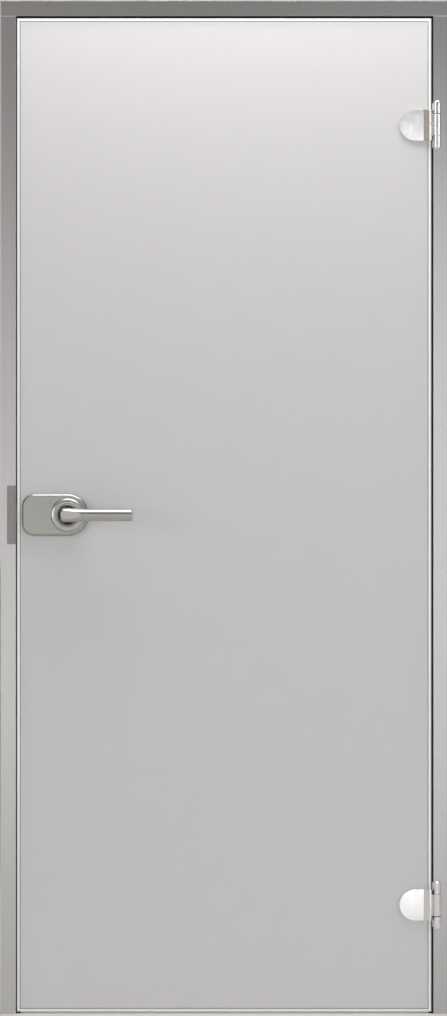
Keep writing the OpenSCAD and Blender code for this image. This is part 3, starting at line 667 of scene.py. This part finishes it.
class DOOR_OT_glass(bpy.types.Operator):
    """Finish the leaf in satin etched glass"""

    bl_idname = "door.glass"
    bl_label = "Glass Leaf"

    def execute(self, context):
        looks = context.scene.door_finish
        dress(satin_glass("Satin etched glass", looks.glass, looks.clear_band), "glass_pane")
        return {"FINISHED"}


class DOOR_OT_hinges(bpy.types.Operator):
    """Finish the hinges and their clamp plates"""

    bl_idname = "door.hinges"
    bl_label = "Hinges"

    def execute(self, context):
        looks = context.scene.door_finish
        chrome = satin_chrome("Satin chrome plate", looks.chrome, 0.2)
        dress(chrome, *both("hinge_bracket", "clamp_front", "clamp_back"))
        soften(looks.fitting_edge, True, *both("clamp_front", "clamp_back"))
        black = moulded_plastic("Moulded black nylon, bushes", linear("1c1c1d"), 0.5, 1.53)
        dress(black, *both("hinge_bushes"))
        clear = moulded_plastic("Clear soft liner sheet", linear("c9cac8"), 0.4, 1.53)
        dress(clear, *both("clamp_liners", "clamp_sleeves"), "lock_liners", "lock_sleeves")
        zinc = zinc_steel("Zinc plated screws", linear("b4b3ae"), 0.35)
        dress(zinc, *both("hinge_screws", "clamp_screws", "hinge_pin", "hinge_backing"))
        dress(zinc, "corner_screws", "strike_screws", "lock_screws")
        return {"FINISHED"}


class DOOR_OT_lock(bpy.types.Operator):
    """Finish the lock's cover and case"""

    bl_idname = "door.lock"
    bl_label = "Lock Body"

    def execute(self, context):
        looks = context.scene.door_finish
        satin = anodised_aluminium("Satin anodised aluminium, lock", looks.cover, "X", 0.32)
        dress(satin, "lock_cover", "lock_case")
        soften(looks.fitting_edge, True, "lock_cover", "lock_case")
        return {"FINISHED"}


class DOOR_OT_levers(bpy.types.Operator):
    """Finish the levers, roses and bearings"""

    bl_idname = "door.levers"
    bl_label = "Levers and Roses"

    def execute(self, context):
        looks = context.scene.door_finish
        low, high = (Vector(corner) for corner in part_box("front_rose"))
        centre = (low + high) / 2
        dress(turned_metal("Turned satin steel", looks.rose, centre, 0.34, 0.0012), "front_rose", "back_rose")
        dress(ground_aluminium("Ground satin aluminium", looks.lever, "X", 0.36), "front_lever", "back_lever")
        nylon = moulded_plastic("Moulded black nylon, bearings", linear("1a1a1b"), 0.5, 1.53)
        dress(nylon, "front_bearing", "back_bearing")
        black_steel = zinc_steel("Blackened grub screws", linear("3c3b39"), 0.4)
        dress(black_steel, "front_grub_screw", "back_grub_screw")
        return {"FINISHED"}


class DOOR_OT_mechanism(bpy.types.Operator):
    """Finish the latch, follower, spindle and springs"""

    bl_idname = "door.mechanism"
    bl_label = "Latch Mechanism"

    def execute(self, context):
        plain = zinc_steel("Bright drawn steel", linear("9d9c97"), 0.3)
        dress(plain, "spindle", "follower", "latch_bolt", "lock_case_plate")
        dress(zinc_steel("Spring steel wire", linear("a5a39c"), 0.28), "return_spring", "latch_spring")
        return {"FINISHED"}


# ------------------------------------------------------------------ the studio


def area_light(name, place, aim, size, power, colour):
    """Rectangular softbox that the camera doesn't see."""
    data = bpy.data.lights.new(name, "AREA")
    data.shape = "RECTANGLE"
    data.size, data.size_y = size
    data.energy = power
    data.color = linear(colour)[:3]
    light = bpy.data.objects.new(name, data)
    light.location = place
    light.rotation_euler = (Vector(aim) - Vector(place)).to_track_quat("-Z", "Y").to_euler()
    light.visible_camera = False
    bpy.context.scene.collection.objects.link(light)
    return light


def sheet_of(name, corners, material):
    """Flat stage sheet through these corners."""
    mesh = bpy.data.meshes.new(name)
    work = bmesh.new()
    work.faces.new([work.verts.new(corner) for corner in corners])
    work.to_mesh(mesh)
    work.free()
    mesh.materials.append(material)
    sheet = bpy.data.objects.new(name, mesh)
    bpy.context.scene.collection.objects.link(sheet)
    return sheet


def matt_paint(name, colour):
    """Rolled matt emulsion paint, faintly mottled by the roller."""
    material = new_material(name)
    coords = add(material, "ShaderNodeTexCoord")
    mottle = add(
        material,
        "ShaderNodeTexNoise",
        {"Scale": 3.0, "Detail": 4.0},
        {"Vector": (coords, "Object")},
    )
    tone = add(
        material,
        "ShaderNodeMix",
        {"data_type": "RGBA", 6: darker(colour, 0.97), 7: colour},
        {0: (mottle, "Fac")},
    )
    paint = add(
        material,
        "ShaderNodeBsdfPrincipled",
        {"Roughness": 0.85, "IOR": 1.45},
        {"Base Color": (tone, 2)},
    )
    return finish(material, paint)


# Name, place, aim, width and height, watts, colour. The tall strip gives the chrome its clean
# white, the front boxes the profiles' soft middle, and the overhead strip the bright tops. The
# wide boxes show only in curved and sloping metal.
LIGHTS = (
    ("Front right softbox", (0.85, -4.5, 1.2), (0.0, 0.0, 1.05), (0.8, 1.3), 3.6, "ffffff"),
    ("Front left softbox", (-0.85, -4.5, 1.05), (0.0, 0.0, 1.0), (0.8, 1.8), 6.6, "ffffff"),
    ("Front low softbox", (-0.7, -4.5, 0.35), (0.0, 0.0, 0.5), (0.9, 0.6), 2.9, "ffffff"),
    ("Tall strip", (0.44, -1.5, 0.99), (0.44, 0.0, 0.99), (0.12, 1.84), 1.7, "ffffff"),
    ("Overhead strip", (0.1, -0.35, 2.7), (0.1, -0.3, 0.0), (1.6, 0.5), 19.0, "fffdfa"),
    ("Left side softbox", (-4.2, -2.6, 1.6), (0.0, 0.0, 1.0), (1.6, 2.4), 50.0, "ffffff"),
    ("Right side softbox", (4.2, -2.6, 1.6), (0.0, 0.0, 1.0), (1.6, 2.4), 40.0, "ffffff"),
    ("High back softbox", (0.0, 3.0, 3.2), (0.0, 0.0, 1.8), (2.0, 1.2), 26.0, "ffffff"),
    ("Wide right softbox", (2.3, -4.0, 1.4), (0.4, 0.0, 1.1), (1.8, 2.6), 8.0, "ffffff"),
    ("Wide taupe reflector", (-2.1, -4.1, 1.4), (0.3, 0.0, 1.1), (2.2, 2.6), 12.0, "b8a594"),
)


def studio_air(brightness):
    """World that is dim near the horizon, brighter overhead, and pale where it is seen directly."""
    dim_below, bright_above = math.radians(32), math.radians(56)
    dim, bright = 0.05 * brightness, 0.55 * brightness
    world = bpy.data.worlds.new("Studio air")
    world.use_nodes = True
    world.node_tree.nodes.clear()
    coords = add(world, "ShaderNodeTexCoord")
    height = add(world, "ShaderNodeSeparateXYZ", {}, {"Vector": (coords, "Generated")})
    glow = add(
        world,
        "ShaderNodeMapRange",
        {
            "interpolation_type": "SMOOTHSTEP",
            "From Min": math.sin(dim_below),
            "From Max": math.sin(bright_above),
            "To Min": dim,
            "To Max": bright,
        },
        {"Value": (height, "Z")},
    )
    light = add(world, "ShaderNodeBackground", {"Color": linear("ffffff")}, {"Strength": (glow, 0)})
    seen = add(world, "ShaderNodeBackground", {"Color": linear("bdbcba"), "Strength": 1.0})
    path = add(world, "ShaderNodeLightPath")
    mixed = add(world, "ShaderNodeMixShader", {}, {0: (path, "Is Camera Ray"), 1: (light, 0), 2: (seen, 0)})
    add(world, "ShaderNodeOutputWorld", {}, {"Surface": (mixed, 0)})
    bpy.context.scene.world = world


class DOOR_OT_studio(bpy.types.Operator):
    """Build the floor, the lights and the camera"""

    bl_idname = "door.studio"
    bl_label = "Studio"

    def execute(self, context):
        scene = context.scene
        studio = scene.door_studio
        reach = 60.0
        floor = matt_paint("Matt pale floor paint", linear("f0efed"))
        corners = [(-reach, -reach, 0), (reach, -reach, 0), (reach, reach, 0), (-reach, reach, 0)]
        ground = sheet_of("Floor", corners, floor)
        # The far front boxes would burn spots into the floor below them, so they leave it out.
        spared = bpy.data.collections.new("Floor spared by the front boxes")
        spared.objects.link(ground)
        spared.collection_objects[0].light_linking.link_state = "EXCLUDE"

        for name, place, aim, size, power, colour in LIGHTS:
            light = area_light(name, place, aim, size, power * studio.brightness, colour)
            if name.startswith(("Front", "Wide")):
                light.light_linking.receiver_collection = spared
        studio_air(studio.brightness)
        scene.view_settings.view_transform = "Standard"

        lens = bpy.data.cameras.new("Camera")
        lens.lens = studio.lens
        lens.clip_end = 200.0
        camera = bpy.data.objects.new("Camera", lens)
        camera.location = (studio.aside, -studio.distance, studio.eye)
        camera.rotation_euler = Euler((math.radians(90), 0, 0))
        scene.collection.objects.link(camera)
        scene.camera = camera
        return {"FINISHED"}


class DOOR_PT_panel(bpy.types.Panel):
    """Sizes, colours and steps of the glass door"""

    bl_idname = "DOOR_PT_panel"
    bl_label = "Glass Door"
    bl_space_type = "VIEW_3D"
    bl_region_type = "UI"
    bl_category = "Glass Door"

    def draw(self, context):
        for settings in (context.scene.door_finish, context.scene.door_studio):
            box = self.layout.box()
            for name in settings.__annotations__:
                box.prop(settings, name)
        for step in STEPS:
            self.layout.operator(step.bl_idname)


STEPS = (
    DOOR_OT_frame_profiles,
    DOOR_OT_seals,
    DOOR_OT_strike,
    DOOR_OT_glass,
    DOOR_OT_hinges,
    DOOR_OT_lock,
    DOOR_OT_levers,
    DOOR_OT_mechanism,
    DOOR_OT_studio,
)
CLASSES = (DoorFinishSettings, DoorStudioSettings, *STEPS, DOOR_PT_panel)


def register():
    for cls in CLASSES:
        bpy.utils.register_class(cls)
    bpy.types.Scene.door_finish = bpy.props.PointerProperty(type=DoorFinishSettings)
    bpy.types.Scene.door_studio = bpy.props.PointerProperty(type=DoorStudioSettings)


def unregister():
    del bpy.types.Scene.door_studio
    del bpy.types.Scene.door_finish
    for cls in reversed(CLASSES):
        bpy.utils.unregister_class(cls)


def main():
    register()
    bpy.ops.door.frame_profiles()
    bpy.ops.door.seals()
    bpy.ops.door.strike()
    bpy.ops.door.glass()
    bpy.ops.door.hinges()
    bpy.ops.door.lock()
    bpy.ops.door.levers()
    bpy.ops.door.mechanism()
    bpy.ops.door.studio()


if __name__ == "__main__":
    main()
